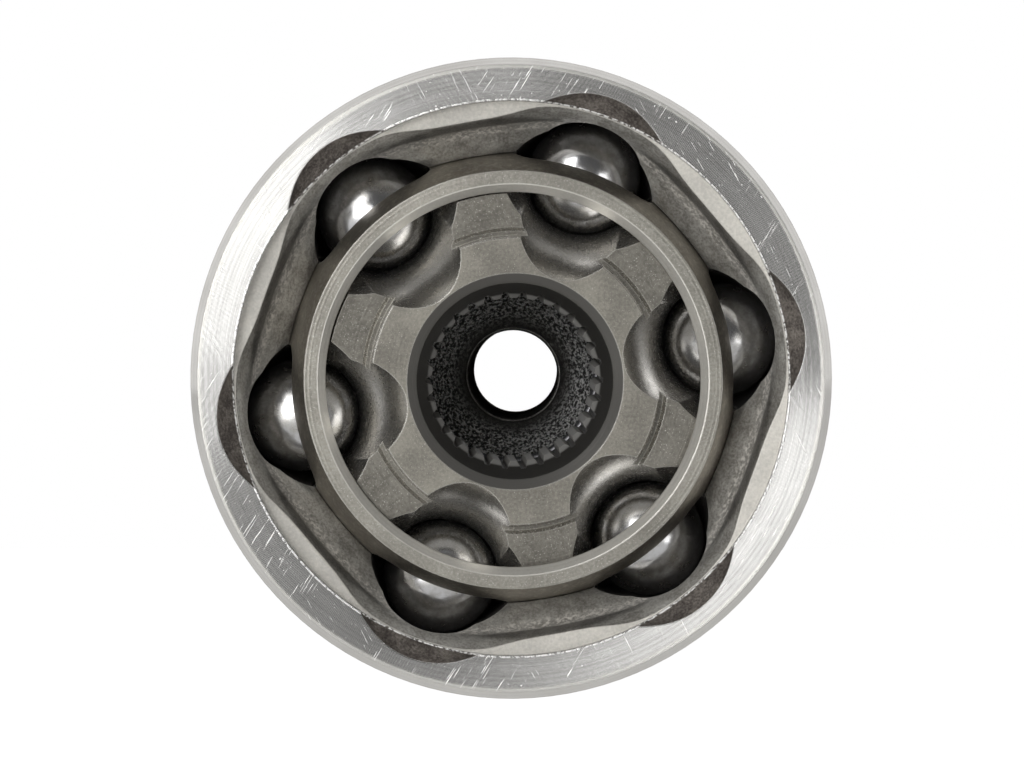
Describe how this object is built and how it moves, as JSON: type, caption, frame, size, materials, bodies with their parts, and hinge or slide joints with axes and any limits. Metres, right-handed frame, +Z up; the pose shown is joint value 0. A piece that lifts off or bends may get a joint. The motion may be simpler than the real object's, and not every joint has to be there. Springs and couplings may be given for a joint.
{
  "type": "cv joint",
  "caption": "Fixed ball-type constant-velocity joint: bell-shaped outer race with hollow splined stub, cage, inner race with splined bore, steel balls and shaft snap ring.",
  "frame": {"origin": "joint centre: the point about which the shaft side articulates", "axes": "+Y along the bell's axis from the joint centre to the hub stub, the mouth facing -Y; +Z up; the ball pattern is turned 10.2 degrees about Y"},
  "size_m": [0.0842, 0.1145, 0.0842],
  "materials": {
    "forged_and_turned_steel": "forged steel, turned bright on the rim, seats and stub",
    "hardened_cage_steel": "hardened and ground, grey-brown",
    "ground_race_steel": "hardened, ball tracks ground",
    "spring_steel": "round spring wire, dark",
    "polished_ball_steel": "bearing steel balls, polished"
  },
  "bodies": {
    "hub_side": {"outer_race": "forged_and_turned_steel"},
    "shaft_side": {"inner_race": "ground_race_steel", "shaft_snap_ring": "spring_steel"},
    "cage": {"cage": "hardened_cage_steel"},
    "ball_1": {"ball_1": "polished_ball_steel"},
    "ball_2": {"ball_2": "polished_ball_steel"},
    "ball_3": {"ball_3": "polished_ball_steel"},
    "ball_4": {"ball_4": "polished_ball_steel"},
    "ball_5": {"ball_5": "polished_ball_steel"},
    "ball_6": {"ball_6": "polished_ball_steel"}
  },
  "joints": [
    {"name": "articulation", "type": "hinge", "parent": "hub_side", "child": "shaft_side", "pos_m": [0, 0, 0], "axis": [0.6374, 0, 0.7705], "range_deg": [-48.4, 41.6]},
    {"name": "cage_follow", "type": "hinge", "parent": "hub_side", "child": "cage", "pos_m": [0, 0, 0], "axis": [0.6374, 0, 0.7705], "range_deg": [-24.3, 20.9]},
    {"name": "ball_1_travel", "type": "hinge", "parent": "hub_side", "child": "ball_1", "pos_m": [0, -0.003, 0], "axis": [0.1771, 0, -0.9842], "range_deg": [-13.9, 16.1]},
    {"name": "ball_2_travel", "type": "hinge", "parent": "hub_side", "child": "ball_2", "pos_m": [0, -0.003, 0], "axis": [0.9409, 0, -0.3387], "range_deg": [-8.7, 7.5]},
    {"name": "ball_3_travel", "type": "hinge", "parent": "hub_side", "child": "ball_3", "pos_m": [0, -0.003, 0], "axis": [0.7638, 0, 0.6455], "range_deg": [-24, 20.7]},
    {"name": "ball_4_travel", "type": "hinge", "parent": "hub_side", "child": "ball_4", "pos_m": [0, -0.003, 0], "axis": [-0.1771, 0, 0.9842], "range_deg": [-16.2, 13.9]},
    {"name": "ball_5_travel", "type": "hinge", "parent": "hub_side", "child": "ball_5", "pos_m": [0, -0.003, 0], "axis": [-0.9409, 0, 0.3387], "range_deg": [-7.4, 8.6]},
    {"name": "ball_6_travel", "type": "hinge", "parent": "hub_side", "child": "ball_6", "pos_m": [0, -0.003, 0], "axis": [-0.7638, 0, -0.6455], "range_deg": [-20.6, 24]}
  ],
  "couplings": [
    {"joint": "cage_follow", "follows": "articulation", "ratio": 0.5},
    {"joint": "ball_1_travel", "follows": "articulation", "ratio": -0.3299},
    {"joint": "ball_2_travel", "follows": "articulation", "ratio": 0.176},
    {"joint": "ball_3_travel", "follows": "articulation", "ratio": 0.4933},
    {"joint": "ball_4_travel", "follows": "articulation", "ratio": 0.3316},
    {"joint": "ball_5_travel", "follows": "articulation", "ratio": -0.175},
    {"joint": "ball_6_travel", "follows": "articulation", "ratio": -0.4923}
  ]
}
